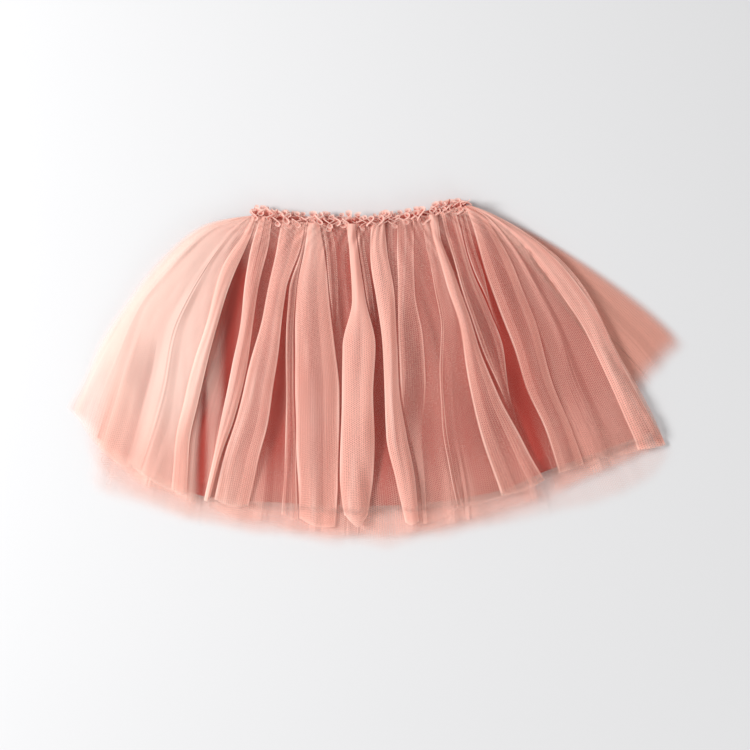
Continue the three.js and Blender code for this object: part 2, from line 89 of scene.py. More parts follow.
# The outer front's folds, left to right. left and right are the x of a fold's edges at FOLD_LEVELS, from
# the waist (0) to the hem (1). tuck is how much of its width the net is folded back under it at each edge,
# lift its height, net how much the fold hides and gap how much the single net to the right of it hides.
# rim is how pale its edges are, until where it runs out, and cut how its hem is cut: left, tip and right
FOLD_LEVELS = [0, 0.1, 0.25, 0.4, 0.55, 0.7, 0.85, 1]
FOLDS = [
    dict(left=[-115.6, -151, -179, -203, -224, -243, -258, -272],
         right=[-115, -145, -170, -193, -213, -225, -236, -248],
         net=[0.42, 0.42, 0.42, 0.42, 0.4, 0.34, 0.3, 0.3],
         gap=[0.34, 0.38, 0.4, 0.38, 0.3, 0.2, 0.22, 0.28], tuck=(0, 0), lift=3, rim=(0, 0), soft=True),
    dict(left=[-113.4, -136, -157, -177, -193, -202, -212, -224],
         right=[-112.8, -129, -149, -164, -176, -181, -190, -203],
         net=[0.34, 0.34, 0.36, 0.38, 0.4, 0.44, 0.48, 0.48],
         gap=[0.32, 0.36, 0.38, 0.38, 0.4, 0.42, 0.42, 0.4], tuck=(0, 0), lift=3, rim=(0, 0), soft=True),
    dict(left=[-112, -123, -142, -151, -163, -174, -182, -186],
         right=[-108, -116, -130, -142, -152, -162, -170, -172],
         net=[0.36, 0.36, 0.34, 0.34, 0.34, 0.32, 0.3, 0.28],
         gap=[0.14, 0.12, 0.05, 0.02, 0.03, 0.09, 0.14, 0.16], tuck=(0.4, 0.5), lift=6, rim=(0.5, 0.6)),
    dict(left=[-106, -113, -120, -124, -131, -140, -148, -157],
         right=[-96, -99, -107, -113, -119, -128.5, -141, -151],
         tuck=(0.4, 0.45), lift=8, net=0.38, gap=0.06),
    dict(left=[-87, -92, -99, -107, -117, -127, -139, -148],
         right=[-66, -71, -84, -88, -93, -100, -109, -117],
         gap=[0.22, 0.16, 0.1, 0.06, 0.05, 0.06, 0.14, 0.3], tuck=(0.3, 0.35), lift=9, net=0.42),
    dict(left=[-65, -70, -81, -83, -83, -84, -86, -88],
         right=[-64.3, -68.5, -75, -76.8, -76.2, -75.6, -74.6, -73.4],
         tuck=(0.2, 0.2), lift=4, net=0.24, gap=0.12),
    dict(left=[-63.6, -67.4, -74, -75.6, -75, -74.4, -73.4, -72],
         right=[-54, -49.5, -45, -40.5, -36, -36.5, -37.6, -40],
         tuck=(0.3, 0.35), lift=9, net=0.46, gap=0.18),
    dict(left=[-52, -48, -44, -39.8, -35.4, -36, -37.1, -39.4],
         right=[-44, -39, -37, -39, -34.8, -35.5, -36.8, -38.8],
         tuck=(0.3, 0.3), lift=6, net=0.36, gap=0.12, until=0.2),
    dict(left=[-30, -27, -25, -33.5, -33.8, -34.8, -36.2, -32],
         right=[-22.5, -19, -12.5, -4, -6, -5, -6, -11],
         tuck=(0.3, 0.4), lift=11, net=0.7, gap=0.14, cut=(14, 0.62, 12)),
    dict(left=[-21, -18, -11.5, -3.6, -5.3, -4.2, -5.3, -10.2],
         right=[-16.5, -12.5, -6, -3, -4.7, -3.6, -4.7, -9.6],
         tuck=(0.3, 0.3), lift=5, net=0.32, gap=0.05, until=0.2),
    dict(left=[-8, -9, -3, 2, 4, 5, 14, 22],
         right=[4, 6.5, 13, 15, 17, 23, 31, 35], tuck=(0.35, 0.4), lift=8, net=0.72, gap=0.36),
    dict(left=[15, 15, 15.5, 16.4, 18.4, 26, 34, 38],
         right=[31, 30, 31, 38, 41, 37, 40, 43], tuck=(0.2, 0.1), lift=6, net=0.36, gap=0.24, until=0.5),
    dict(left=[38, 40, 48, 54, 53, 55, 61, 69],
         right=[39.5, 41.5, 50, 56.5, 56, 58.5, 65, 73], tuck=(0.2, 0.2), lift=2, net=0.26, gap=0.22),
    dict(left=[43, 47, 58, 70, 76, 84, 95, 108],
         right=[51, 54, 67, 80, 92, 107, 127, 147], tuck=(0.35, 0.3), lift=9, net=0.4, gap=0.02),
    dict(left=[54, 58.5, 69, 81, 94, 110, 128.3, 148],
         right=[66.5, 71.5, 82, 97, 110, 115, 129, 148.8],
         gap=[0.3, 0.24, 0.14, 0.08, 0.05, 0.02, 0.02, 0.05], tuck=(0.2, 0.3), lift=5, net=0.26, until=0.6),
    dict(left=[68.5, 73, 83, 98.5, 112, 117, 130.5, 149.6],
         right=[73.5, 79, 90, 99.5, 112.8, 118, 131.5, 150.4],
         gap=[0.3, 0.24, 0.1, 0.04, 0.02, 0.02, 0.02, 0.05], tuck=(0.3, 0.3), lift=5, net=0.32, until=0.35),
    dict(left=[74.8, 82, 92, 105, 118, 130, 147, 160],
         right=[77, 95, 114, 129, 142, 152, 168, 182],
         tuck=(0.3, 0.25), lift=8, net=0.34, gap=0.3, rim=(0.6, 0.3)),
    dict(left=[77.2, 96.5, 119, 137, 153, 164, 180, 196],
         right=[77.6, 99, 124, 144, 163, 178, 196, 212],
         tuck=(0, 0), lift=4, net=0.34, gap=0.36, rim=(0, 0), soft=True),
    dict(left=[77.8, 100.5, 130, 154, 177, 195, 213, 231],
         right=[78.4, 103, 141.5, 171.5, 194, 212, 233.5, 255.4],
         tuck=(0.3, 0.3), lift=4, net=0.74, gap=0.74, rim=(0.6, 0.8)),
]
USUAL_RIM = (0.85, 0.6)
NEVER = 2  # past the hem: the fold runs the whole way down

# Where both front layers of net part and the lining shows through: x, half width and strength, each a
# number or a list at FOLD_LEVELS
PARTINGS = [
    dict(x=[-110, -117, -125, -133, -135, -138, -141, -146], half=[9, 9, 9, 10, 7, 3.5, 2, 2],
         strength=[0.8, 0.8, 1, 1, 1, 0.7, 0.2, 0]),
    dict(x=[-110, -120, -136, -148, -155, -157, -159, -160], half=[2, 2, 2, 2, 2, 3.5, 7, 9],
         strength=[0, 0, 0, 0, 0.3, 1, 1, 0.9]),
    dict(x=[-80, -81, -83, -86, -89, -93, -97, -99], half=9,
         strength=[0.3, 0.4, 0.6, 0.7, 0.7, 0.6, 0.4, 0.2]),
    dict(x=[-12, -9, -5, -4, -1, 1, 5, 10], half=4, strength=0.3),
    dict(x=[75, 82, 90, 102, 114, 126, 139, 152], half=10, strength=1),
]


def curve(points):
    """A smooth curve through (place, value) pairs that never overshoots them."""
    places, values = np.array(points, float).T
    steps = np.diff(places)
    slopes = np.diff(values) / steps
    tangents = np.concatenate([slopes[:1], np.zeros(len(places) - 2), slopes[-1:]])
    for i in range(1, len(places) - 1):
        if slopes[i - 1] * slopes[i] > 0:
            tangents[i] = 2 * slopes[i - 1] * slopes[i] / (slopes[i - 1] + slopes[i])

    def at(place):
        place = np.clip(np.asarray(place, float), places[0], places[-1])
        i = np.clip(np.searchsorted(places, place, side="right") - 1, 0, len(steps) - 1)
        t = (place - places[i]) / steps[i]
        return (
            (1 + 2 * t) * (1 - t) ** 2 * values[i]
            + t * (1 - t) ** 2 * steps[i] * tangents[i]
            + t * t * (3 - 2 * t) * values[i + 1]
            + t * t * (t - 1) * steps[i] * tangents[i + 1]
        )

    return at


def ease(t):
    """0 below 0, 1 above 1, and smooth between."""
    t = np.clip(t, 0, 1)
    return t * t * (3 - 2 * t)


def grown(place, span):
    """0 before a span, given by its start and its length, 1 past it, and smooth between."""
    return ease((place - span[0]) / span[1])


def along(values):
    """A number, or a list of numbers at FOLD_LEVELS, as a function of down."""
    if isinstance(values, list):
        return curve(list(zip(FOLD_LEVELS, values)))
    return lambda down: np.full(np.shape(down), float(values))


def ripple(rng, count, lowest, highest):
    """A smooth random function of one number, about -1 to 1, from a few waves of random length."""
    waves = rng.uniform(lowest, highest, count)
    phases = rng.uniform(0, math.tau, count)
    return lambda t: sum(np.sin(math.tau * w * t + p) for w, p in zip(waves, phases)) / math.sqrt(count)


waist_y = curve(WAIST_LINE)


class Layout:
    """Where a panel lies: across runs 0 to 1 from left to right, down 0 to 1 from the waist to the hem."""

    def __init__(self, panel):
        left, right = curve(FLARES["left"]), curve(FLARES[panel["flare"]])
        self.hem = curve(panel["hem"])
        self.left = lambda down: WAIST_LEFT + (panel["left"] - WAIST_LEFT) * left(down)
        self.right = lambda down: WAIST_RIGHT + (panel["right"] - WAIST_RIGHT) * right(down)

    def across(self, x, down):
        return (x - self.left(down)) / (self.right(down) - self.left(down))

    def x(self, across, down):
        return self.left(down) + (self.right(down) - self.left(down)) * across

    def y(self, x, down):
        across = np.clip(self.across(x, down), 0, 1)
        drop = down ** (1 + (SIDE_DROP - 1) * (2 * across - 1) ** 2)
        return (waist_y(across) + PANEL_RISE) * (1 - drop) + self.hem(across) * drop


# Heights

CELL = 2.0  # of the raster that holds heights, in millimetres
RASTER_LEFT, RASTER_NEAR = -300.0, -180.0
RASTER_COLUMNS, RASTER_ROWS = 300, 176
LAST_CELL = 1.001  # keeps a place off the raster's far edge
PROBE_CELLS = 3  # between the places where a solid's height is measured
NO_HEIGHT = 1e3  # where there is no solid
VALLEY_REACH, VALLEY_BLUR = 6, 12  # cells and rounds that bring a solid's height down to its valleys
BRIDGE_REACH, BRIDGE_BLUR = 3, 6  # the same for loose net that bridges the hollows below it
CROSSING, CROSSING_DROP = 2.5, 0.2  # how gently one height takes over from another
LEVEL_DROP = 1.0  # of the cloth below its solid's valleys
LAYER_GAP = 0.5  # least distance from what lies below


def spread(field, pick, steps):
    """Widens the highest (np.maximum) or lowest (np.minimum) heights of a raster by some cells each way."""
    for _ in range(steps):
        for axis in (0, 1):
            field = pick(field, pick(np.roll(field, 1, axis), np.roll(field, -1, axis)))
    return field


def blur(field, steps):
    for _ in range(steps):
        for axis in (0, 1):
            field = (np.roll(field, 1, axis) + 2 * field + np.roll(field, -1, axis)) / 4
    return field


def sample(field, x, y):
    """The raster's height at places on the table."""
    i = np.clip((x - RASTER_LEFT) / CELL, 0, RASTER_COLUMNS - LAST_CELL)
    j = np.clip((y - RASTER_NEAR) / CELL, 0, RASTER_ROWS - LAST_CELL)
    i0, j0 = i.astype(int), j.astype(int)
    s, t = i - i0, j - j0
    return (
        field[j0, i0] * (1 - s) * (1 - t) + field[j0, i0 + 1] * s * (1 - t)
        + field[j0 + 1, i0] * (1 - s) * t + field[j0 + 1, i0 + 1] * s * t
    )


def level_of(node):
    """The height of a solid's valleys as a smooth raster, from its own upper side."""
    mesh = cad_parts[node].data
    tree = BVHTree.FromPolygons([v.co for v in mesh.vertices], [p.vertices for p in mesh.polygons])
    heights = np.full((RASTER_ROWS, RASTER_COLUMNS), NO_HEIGHT)
    for j in range(0, RASTER_ROWS, PROBE_CELLS):
        for i in range(0, RASTER_COLUMNS, PROBE_CELLS):
            x, y = RASTER_LEFT + CELL * i, RASTER_NEAR + CELL * j
            hit = tree.ray_cast(Vector((x * MM, y * MM, 1)), Vector((0, 0, -1)))[0]
            if hit is not None:
                heights[j:j + PROBE_CELLS, i:i + PROBE_CELLS] = hit.z / MM
    heights = spread(heights, np.minimum, VALLEY_REACH)
    heights = np.where(heights > NO_HEIGHT / 2, 0, heights)
    return blur(heights, VALLEY_BLUR)


def highest(first, second):
    """The higher of two heights, with no crease where they cross."""
    return (first + second + np.sqrt((first - second) ** 2 + CROSSING ** 2)) / 2 - CROSSING_DROP


class Pile:
    """The top of what has been laid so far."""

    def __init__(self):
        self.top = np.zeros((RASTER_ROWS, RASTER_COLUMNS))

    def over(self, x, y):
        return sample(self.top, x, y)

    def softly_over(self, x, y):
        """The same for net that bridges the hollows between the folds below."""
        return sample(blur(spread(self.top, np.maximum, BRIDGE_REACH), BRIDGE_BLUR), x, y)

    def lay(self, x, y, level, below, height):
        """The points of a cloth that lies so high over what is below it. It becomes part of the pile."""
        z = highest(level - LEVEL_DROP, below + LAYER_GAP) + np.maximum(height, 0)
        points = np.stack([x, y, z], axis=-1)
        x, y, z = points.reshape(-1, 3).T
        i = np.clip(((x - RASTER_LEFT) / CELL).round().astype(int), 0, RASTER_COLUMNS - 1)
        j = np.clip(((y - RASTER_NEAR) / CELL).round().astype(int), 0, RASTER_ROWS - 1)
        new = np.zeros_like(self.top)
        np.maximum.at(new, (j, i), z)
        self.top = np.maximum(self.top, spread(new, np.maximum, 1))
        return points


pile = Pile()


# Meshes

scene = bpy.context.scene


def placed(name, data):
    """A new object in the scene."""
    made = bpy.data.objects.new(name, data)
    scene.collection.objects.link(made)
    return made


def grid_object(name, points, uv, fields):
    """A smooth-shaded sheet over a grid of points in millimetres, with named numbers at its points."""
    rows, columns = points.shape[:2]
    index = np.arange(rows * columns).reshape(rows, columns)
    corners = np.stack([index[:-1, :-1], index[1:, :-1], index[1:, 1:], index[:-1, 1:]], axis=-1)
    corners = corners.reshape(-1, 4)
    mesh = bpy.data.meshes.new(name)
    mesh.vertices.add(rows * columns)
    mesh.vertices.foreach_set("co", (points * MM).astype(np.float32).ravel())
    mesh.loops.add(corners.size)
    mesh.loops.foreach_set("vertex_index", corners.astype(np.int32).ravel())
    mesh.polygons.add(len(corners))
    mesh.polygons.foreach_set("loop_start", (np.arange(len(corners)) * 4).astype(np.int32))
    mesh.polygons.foreach_set("use_smooth", np.ones(len(corners), bool))
    layer = mesh.uv_layers.new(name="Cloth")
    layer.data.foreach_set("uv", (uv * MM).reshape(-1, 2)[corners.ravel()].astype(np.float32).ravel())
    for field, values in fields.items():
        attribute = mesh.attributes.new(field, "FLOAT", "POINT")
        values = np.broadcast_to(values, (rows, columns)).astype(np.float32)
        attribute.data.foreach_set("value", values.ravel())
    mesh.update(calc_edges=True)
    mesh.validate()
    piece = placed(name, mesh)
    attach(piece, "root")
    return piece


def steepness(points):
    """How far each point's cloth is from lying flat, 0 to 1."""
    normal = np.cross(np.gradient(points, axis=1), np.gradient(points, axis=0))
    normal /= np.maximum(np.linalg.norm(normal, axis=-1, keepdims=True), 1e-9)
    return 1 - np.abs(normal[..., 2])


def arc_lengths(points):
    """How far each point is from the left end of its row, along the cloth."""
    steps = np.linalg.norm(np.diff(points, axis=1), axis=-1)
    return np.concatenate([np.zeros((len(points), 1)), np.cumsum(steps, axis=1)], axis=1)


# A fold's section: each point's place between the fold's own parts, and its height as a share of the lift.
# anchor is where it hangs from (under the left tuck, the left edge, the top, the right edge, under the right
# tuck), t its place along that part, and out its reach past it in turn widths
TURN = np.radians([-60, -20, 20, 60])
TURN_HEIGHT, TURN_RISE = 0.31, 0.07
UNDER_TURN = np.radians([-70, 0, 70])
UNDER_REACH, UNDER_HEIGHT, UNDER_RISE = 0.6, 0.1, 0.08
PLY_PLACES = (0.3, 0.7)
PLY_LOW, PLY_HIGH, PLY_RISE = 0.2, 0.24, 0.04
TOP_PLACES = (0, 0.035, 0.08, 0.16, 0.26, 0.38, 0.5, 0.62, 0.74, 0.84, 0.92, 0.965, 1)
TOP_ROUNDNESS = 0.9
EDGE_SHARE = 0.38  # a folded edge's height as a share of its fold's


def fold_section():
    """Rows of (anchor, t, out, height) across one fold."""
    def under(anchor, reach, angles):
        return [(anchor, 0, reach * math.cos(a), UNDER_HEIGHT + UNDER_RISE * math.sin(a)) for a in angles]

    def turned(anchor, sign, angles):
        return [(anchor, 0, sign * math.cos(a), TURN_HEIGHT + TURN_RISE * math.sin(a)) for a in angles]

    def crown(t):
        return EDGE_SHARE + (1 - EDGE_SHARE) * math.sin(math.pi * t) ** TOP_ROUNDNESS

    return (
        under("left_tuck", UNDER_REACH, UNDER_TURN)
        + [("left_ply", t, 0, PLY_LOW + PLY_RISE * t) for t in PLY_PLACES]
        + turned("left_edge", -1, TURN)
        + [("top", t, 0, crown(t)) for t in TOP_PLACES]
        + turned("right_edge", 1, TURN[::-1])
        + [("right_ply", t, 0, PLY_HIGH - PLY_RISE * t) for t in PLY_PLACES]
        + under("right_tuck", -UNDER_REACH, UNDER_TURN[::-1])
    )


def share_across(anchor, t):
    """Where a point lies between its fold's left edge (0) and right edge (1)."""
    if anchor == "top":
        return t
    return 0 if anchor.startswith("left") else 1


# Regions of the net

HAZE = (100, 78)  # how far left it begins, and over how much further it grows
HAZE_NEAR, HAZE_LOSS = 80, 0.6  # it thins out this far towards the hem, by this share
WING_START, WING_LENGTH, WING_TILT, WING_MIDDLE = 120, 70, 0.3, 30
WING_NEAR = (-75, 60)
SHADE, SHADE_RIGHT, SHADE_DOWN = 0.3, (10, 120), 0.3  # painted shade: a deeper tone towards the right, where less light falls, growing from the waist down
WING_DEPTH = 5  # how much denser a wing is when its tone is deepest; that tone is its close layers of net and painted shade


def haze(x, y):
    """How much the net lies in loose layers, mostly at the left, where it is also painted paler as painted
    light: 0 to 1.
    """
    return grown(-x, HAZE) * (1 - HAZE_LOSS * ease(-y / HAZE_NEAR))


def wing(x, y):
    """How far out a place is on the wing that lies spread at the right: 0 to 1."""
    out = ease((x - WING_START + WING_TILT * (y - WING_MIDDLE)) / WING_LENGTH)
    return out * grown(y, WING_NEAR)


# Gathered net. Most of these are shares of the way down, or of a fold's own width or height

ROW_POWER = 0.9  # below 1, rows lie closer together towards the hem
FOLD_LIFT = 0.62  # how much of its lift a fold keeps under its own weight
WAIST_SWELL, SWELL, SWELL_END = 0.28, 0.72, 0.4  # folds are low at the waist and grow to here
HEM_SINK, NEAR_HEM = 0.18, (0.7, 0.3)  # and they sink a little near the hem
LEAST_HEIGHT, FULL_WIDTH = 0.2, 6  # in millimetres: the least lift, and the width that has the whole of it
LEAST_GAP, LEAST_WIDTH = 0.4, 0.3  # in millimetres, between and across folds
WOBBLE, WOBBLE_START = 0.3, 0.15
FADE_LENGTH = 0.15  # over which a fold runs out
SMOOTHING = (0.45, 0.3)  # where a plain panel's folds turn into waves
TURN_SHARE, MOST_TURN = 0.22, 0.75
VALLEY_STEP = 4.0  # of the net between folds, in millimetres
FEWEST_LINES, MOST_LINES = 5, 9  # between two folds
VALLEY_ROUGH, VALLEY_STRETCH, FOLD_ROUGH, ROUGH_START = 0.8, 1.5, 0.5, 0.2
CROWN_SWING, SLOW_SHIFT = 0.12, 0.1
TOP_COVER, TOP_SPREAD, UNDER_LOSS = 0.92, 0.2, 0.9
RIM_WIDTH, RIM_START, RIM_SHINE, RIM_SWING, RIM_SHIFT = 0.06, 0.06, 0.75, 0.5, 0.2
CREASES = 2  # pale lines along the top of each fold: denser net, partly a painted highlight
CREASE_WIDTH, CREASE_DRIFT, CREASE_SHINE, CREASE_SHIFT, CREASED_WIDTH = 0.06, 0.12, 0.6, 0.5, 12
SECTION = fold_section()


class Lines:
    """A gathered panel's lines from waist to hem, left to right, with what each carries on its way down."""

    def __init__(self, layout, down, rng, rough, valley_net, even, crisp):
        self.down, self.rng, self.rough, self.even, self.crisp = down, rng, rough, even, crisp
        self.lines = []
        sink = HEM_SINK * grown(down, NEAR_HEM)
        self.swell = WAIST_SWELL + SWELL * ease(down / SWELL_END) - sink
        self.start, self.edge, self.net = layout.left(down), layout.left(down), valley_net
        self.add(self.start, along(self.net)(down))

    def add(self, x, net, height=0.0, rim=0.0, cut=0.0, loose=1.0):
        """loose is how much the net can part there, and cut how far its hem is drawn up."""
        line = (x, net, height, rim, cut, loose)
        self.lines.append([np.broadcast_to(values, self.down.shape) for values in line])

    def table(self):
        """x, net, height, rim, cut and loose, each in rows by columns."""
        return [np.stack(values, axis=1) for values in zip(*self.lines)]

    def valley(self, stop):
        """The single net from the last fold as far as stop."""
        bump = ripple(self.rng, 3, 1, 4)
        lines = int(np.clip(np.mean(stop - self.start) / VALLEY_STEP, FEWEST_LINES, MOST_LINES))
        rising = ease(self.down / ROUGH_START)
        for t in np.linspace(0, 1, lines + 2)[1:-1]:
            waves = VALLEY_ROUGH * self.rough * bump(self.down * VALLEY_STRETCH + t) * rising
            self.add(self.start + (stop - self.start) * t, along(self.net)(self.down), waves)

    def fold(self, fold):
        """The net up to a fold, and the fold itself."""
        down, rng, rough = self.down, self.rng, self.rough
        wobble = [ripple(rng, 4, 1, 5) for _ in range(2)]
        free = ease(down / WOBBLE_START)
        left = fold["left"](down) + rough * WOBBLE * wobble[0](down) * free
        right = fold["right"](down) + rough * WOBBLE * wobble[1](down) * free
        if not self.crisp:  # folds drawn at random must not lap over each other
            left = np.maximum(left, self.edge + LEAST_GAP)
        right = np.maximum(right, left + LEAST_WIDTH)
        width = right - left
        there = 1 - ease((down - fold.get("until", NEVER)) / FADE_LENGTH)
        folded = np.full(len(down), 0.0 if fold.get("soft", False) else 1.0)
        if not self.crisp:
            folded = folded * (1 - grown(down, SMOOTHING))
        under_left = left + fold["tuck"][0] * width * there * folded
        under_right = right - fold["tuck"][1] * width * there * folded
        turn = np.minimum(MOST_TURN, TURN_SHARE * width)
        height = FOLD_LIFT * fold["lift"] * self.swell * ease(width / FULL_WIDTH) * there + LEAST_HEIGHT
        self.valley(under_left)
        anchors = {
            "left_tuck": (under_left, under_left),
            "left_ply": (under_left, left + turn),
            "left_edge": (left + turn, left + turn),
            "top": (left + turn, right - turn),
            "right_edge": (right - turn, right - turn),
            "right_ply": (right - turn, under_right),
            "right_tuck": (under_right, under_right),
        }
        crown, slow, shine = ripple(rng, 3, 0.6, 2.2), ripple(rng, 3, 1, 5), ripple(rng, 3, 1, 4)
        drawn_cut = (rng.uniform(-1, 5), rng.uniform(0.3, 0.7), rng.uniform(-1, 5))
        left_cut, tip, right_cut = fold.get("cut", drawn_cut)
        places = rng.uniform(0.2, 0.8, CREASES)
        creases = [(place, rng.uniform(0.15, 0.4), ripple(rng, 3, 0.5, 2)) for place in places]
        for number, (anchor, t, out, share) in enumerate(SECTION):
            start, stop = anchors[anchor]
            on_top = anchor == "top"
            place = number / (len(SECTION) - 1)  # in a smooth wave, which has no edges to turn
            share = share * folded + math.sin(math.pi * place) ** 2 * (1 - folded)
            swing = CROWN_SWING * crown(t + down) * math.sin(math.pi * t) * on_top
            x = (start + (stop - start) * t + out * turn) * folded + (left + width * place) * (1 - folded)
            waves = FOLD_ROUGH * rough * slow(down + SLOW_SHIFT * place) * ease(down / ROUGH_START) * share
            dense = TOP_COVER + TOP_SPREAD * (2 * t - 1) ** 2 if on_top else 1 - UNDER_LOSS * self.even
            own = along(fold["net"])(down) * (dense * folded + 1 - folded)
            net = own * there + along(fold["gap"])(down) * (1 - there)
            across = share_across(anchor, t)
            side = round(across)
            beside = max(0, 1 - min(across, 1 - across) / RIM_WIDTH)
            rim = fold["rim"][side] * beside * (on_top or anchor in ("left_edge", "right_edge"))
            rim = rim * ease(down / RIM_START) * (RIM_SHINE + RIM_SWING * shine(down + RIM_SHIFT * side))
            if on_top:
                for crease, strength, drift in creases:
                    near = np.exp(-((t - crease - CREASE_DRIFT * drift(down)) / CREASE_WIDTH) ** 2)
                    near = near * strength * ease(width / CREASED_WIDTH) * max(fold["rim"])
                    rim = rim + near * (CREASE_SHINE + drift(down + CREASE_SHIFT))
            cut = np.interp(across, (0, tip, 1), (left_cut, 0, right_cut)) * there
            loose = 0.0 if self.crisp else 1.0  # a crisp fold doesn't part, the net beside it does
            self.add(x, net, height * (share + swing) + waves, rim * there * folded, cut, loose)
        self.start, self.edge, self.net = under_right, right, fold["gap"]


PLAIN_CUT = 0.25  # how much of a fold's cut a plain panel's hem shows
HEM_WAVE, WAVY = 1.6, (0.6, 0.4)
GATHER_FADES = ((0.07, 0.85), (0.2, 0.15))  # how soon small gathers run out, and how much of them does
GATHER_BEAT, GATHER_TURN, GATHER_COVER = 2.2, 3, 0.35
CLOSE = 0.07  # how far down the net is drawn close together
GATHER_RIM, GATHER_SHARPNESS, SHARP_GATHERS = 0.5, 6, 0.6
CRISP_CLOSE_COVER, CRISP_CLOSE = 0.36, 0.11
PARTED = (0.06, 0.2)
RIM_FADE = (0.7, 0.25)
DENSE = (0.7, 0.2)
UNEVEN, UNEVEN_DOWN, UNEVEN_DRIFT = 0.2, 0.3, 0.03
LEVEL_LOSS, SETTLED = 0.5, (0.55, 0.45)  # the cloth settles towards the hem
MIDDLE_ROW = 0.6  # the row whose own length stands for the flat cloth's width
LEAST_STEP, LEAST_FULL, MOST_FULL = 0.02, 0.4, 3
WING_FRAY, RIGHT_FRAY = 1.5, 0.4
HEM_RIM, LAST_ROWS = 0.35, (0.988, 0.012)
NET_LENGTH = 300


def smooth_rows(values, rounds):
    """Smooths a table along each of its rows, in place."""
    for _ in range(rounds):
        values[:, 1:-1] = (values[:, :-2] + 2 * values[:, 1:-1] + values[:, 2:]) / 4


def pleated(name, folds, rows, seed, gathers, gather_height, rough, valley_net, frayed=0.02, airy=1.0,
            spread_wing=0.0, even=0.2, crisp=False, parted=False, denser_hem=0.0):
    """A gathered panel whose folds lap over themselves. The edges of folds are functions of down."""
    rng = np.random.default_rng(seed)
    layout = Layout(PANELS[name])
    down = np.linspace(0, 1, rows) ** ROW_POWER
    lines = Lines(layout, down, rng, rough, valley_net, even, crisp)
    for fold in folds:
        lines.fold(fold)
    lines.valley(layout.right(down))
    lines.add(layout.right(down), along(lines.net)(down))
    hem_wave, beat, bump = ripple(rng, 5, 3, 12), ripple(rng, 3, 2, 7), ripple(rng, 6, 3, 12)

    x, net, height, rim, cut, loose = lines.table()
    down = np.broadcast_to(down[:, None], x.shape)
    across = layout.across(x, down)
    cut = cut * grown(down, NEAR_HEM) * (1 if crisp else PLAIN_CUT)
    smooth_rows(cut, 2)
    wave = HEM_WAVE * rough * hem_wave(across) * grown(down, WAVY)
    y = layout.y(x, down) + wave + cut

    # Small gathers that run out a little below the waist
    fade = sum(share * np.exp(-down / length) for length, share in GATHER_FADES)
    gather = np.sin(math.tau * gathers * across + GATHER_BEAT * beat(across) + GATHER_TURN * down)
    height = height + gather_height * fade * (1 + gather)
    height = height + rough * UNEVEN * ease(down / UNEVEN_DOWN) * bump(across + UNEVEN_DRIFT * down)
    level = sample(level_of(name), x, y) * (1 - LEVEL_LOSS * grown(down, SETTLED))
    loose_and_lit, winged = haze(x, y), wing(x, y)
    below = pile.over(x, y)
    below = below + np.maximum(pile.softly_over(x, y) - below, 0) * loose_and_lit
    points = pile.lay(x, y, level, below, height)

    # How much the net hides
    close = np.exp(-down / CLOSE)
    if parted:
        parting_free = grown(down, PARTED)
        for parting in PARTINGS:
            near = loose * np.exp(-((x - along(parting["x"])(down)) / along(parting["half"])(down)) ** 2)
            net = net * (1 - along(parting["strength"])(down) * near * parting_free)
    if crisp:
        net = np.maximum(net, CRISP_CLOSE_COVER * np.exp(-(down / CRISP_CLOSE) ** 2))
    net = net * (1 + GATHER_COVER * gather * close)
    net = net * (1 + denser_hem * grown(down, DENSE))
    lengths = arc_lengths(points)
    reference = lengths[int(rows * MIDDLE_ROW)]
    full = np.gradient(reference)[None, :] / np.maximum(np.gradient(lengths, axis=1), LEAST_STEP)
    smooth_rows(full, 3)

    # Its pale edges, and where it ends
    fray = frayed * (1 + WING_FRAY * winged * (spread_wing > 0))
    end = ease((1 - down) / fray) * ease(across / frayed) * ease((1 - across) / (RIGHT_FRAY * frayed))
    sharp = gather_height > SHARP_GATHERS
    gather_rim = GATHER_RIM * np.maximum(gather, 0) ** GATHER_SHARPNESS * close * sharp
    if crisp:
        end = 1 - loose_and_lit * (1 - end)
        hem_rim = HEM_RIM * grown(down, LAST_ROWS) * (1 - loose_and_lit)
        rim = rim + gather_rim + hem_rim
    else:
        rim = rim * (1 - grown(down, RIM_FADE)) + gather_rim
    uv = np.stack([np.broadcast_to(reference, x.shape), down * NET_LENGTH], axis=-1)
    shade = SHADE * grown(x, SHADE_RIGHT) * ease(down / SHADE_DOWN)
    fields = {
        "net": net * (1 + spread_wing * winged),
        "full": np.clip(full, LEAST_FULL, MOST_FULL) ** (1 - even),
        "steep": steepness(points),
        "rim": np.clip(rim, 0, 1),
        # haze: the loose layers at the left, and the painted light there
        "haze": loose_and_lit * airy,
        "end": end,
        # The deep tone: the wing's close layers with painted shade on them, and painted shade towards the
        # right
        "layered_and_shaded": spread_wing / WING_DEPTH * winged + shade * (1 - winged),
    }
    return grid_object(name + "_cloth", points, uv, fields), points


def placed_folds():
    """The outer front's folds, with edges as curves."""
    folds = []
    for fold in FOLDS:
        left, right = (curve(list(zip(FOLD_LEVELS, fold[side]))) for side in ("left", "right"))
        folds.append({"rim": USUAL_RIM, **fold, "left": left, "right": right})
    return folds


def drawn_folds(name, count, seed, lift, net, gap, rim=0.0, soft=0.6):
    """Folds of uneven width for a panel whose folds don't show one by one."""
    rng = np.random.default_rng(seed)
    layout = Layout(PANELS[name])
    middles = (np.arange(count) + 0.5 + rng.uniform(-0.3, 0.3, count)) / count
    folds = []
    for middle in middles:
        half = rng.uniform(0.15, 0.35, 2) / count
        bend = rng.uniform(-0.4, 0.4) / count
        drift = ripple(rng, 2, 0.3, 1)

        def edge(reach, middle=middle, bend=bend, drift=drift):
            return lambda down: layout.x(middle + reach + bend * down + 0.12 / count * drift(down), down)

        folds.append(dict(
            left=edge(-half[0]),
            right=edge(half[1]),
            tuck=tuple(rng.uniform(0.04, 0.25, 2)),
            rim=(rim, rim),
            soft=middle < 0.35 or rng.random() < soft,
            lift=lift * rng.uniform(0.5, 1.2),
            net=net * rng.uniform(0.9, 1.12),
            gap=gap * rng.uniform(0.85, 1.15),
        ))
    return folds


# The lining

